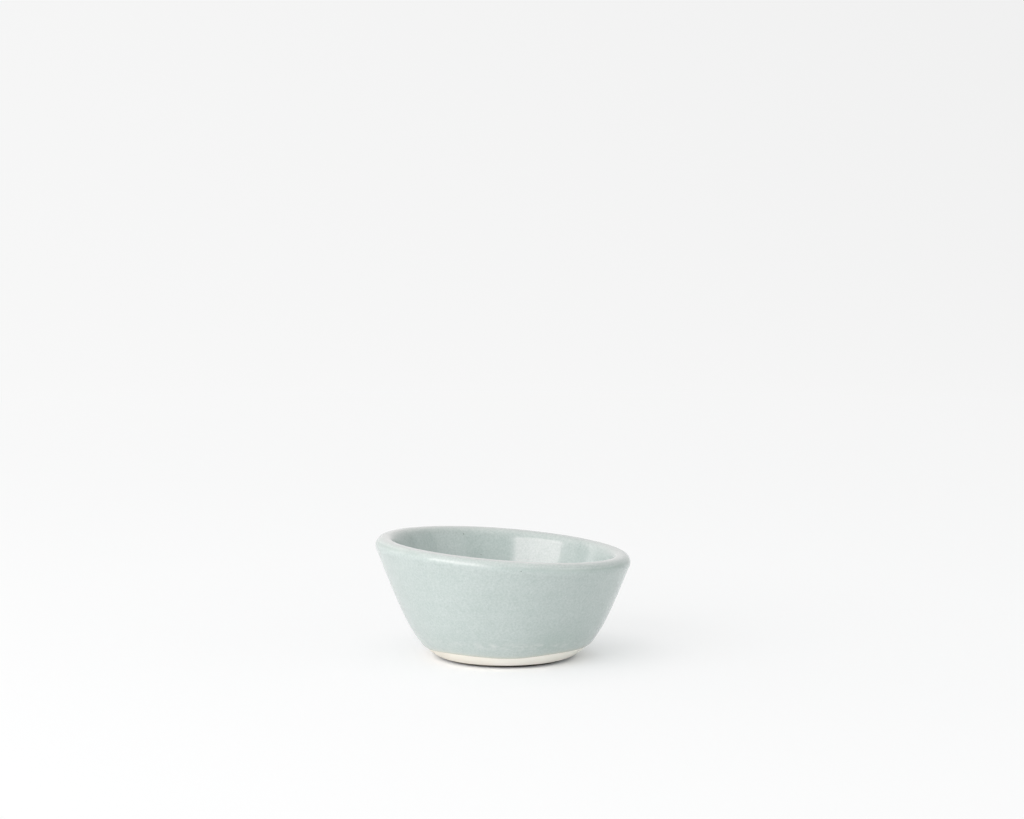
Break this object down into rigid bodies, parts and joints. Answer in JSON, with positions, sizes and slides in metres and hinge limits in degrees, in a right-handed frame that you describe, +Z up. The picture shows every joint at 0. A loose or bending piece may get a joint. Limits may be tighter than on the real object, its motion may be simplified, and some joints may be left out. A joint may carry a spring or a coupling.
{
  "type": "prep bowl",
  "caption": "Small hand-thrown stoneware prep bowl with a leaning rounded rim, pale blue-green glaze and a bare clay foot, for holding measured ingredients.",
  "frame": {"origin": "on the table, at the centre of the foot", "axes": "+Z up along the foot's axis; -Y towards the viewer of the picture; the rim is highest on the -X side and lowest on the +X side"},
  "size_m": [0.1013, 0.1016, 0.0483],
  "materials": {
    "stoneware": "bare fired cream stoneware, matte and slightly sandy",
    "inside_glaze": "pale blue-green satin-gloss glaze with fine speckle",
    "outside_glaze": "pale blue-green satin-gloss glaze with fine speckle"
  },
  "bodies": {
    "root": {"clay_body": "stoneware", "inside_glaze": "inside_glaze", "outside_glaze": "outside_glaze"}
  },
  "joints": []
}
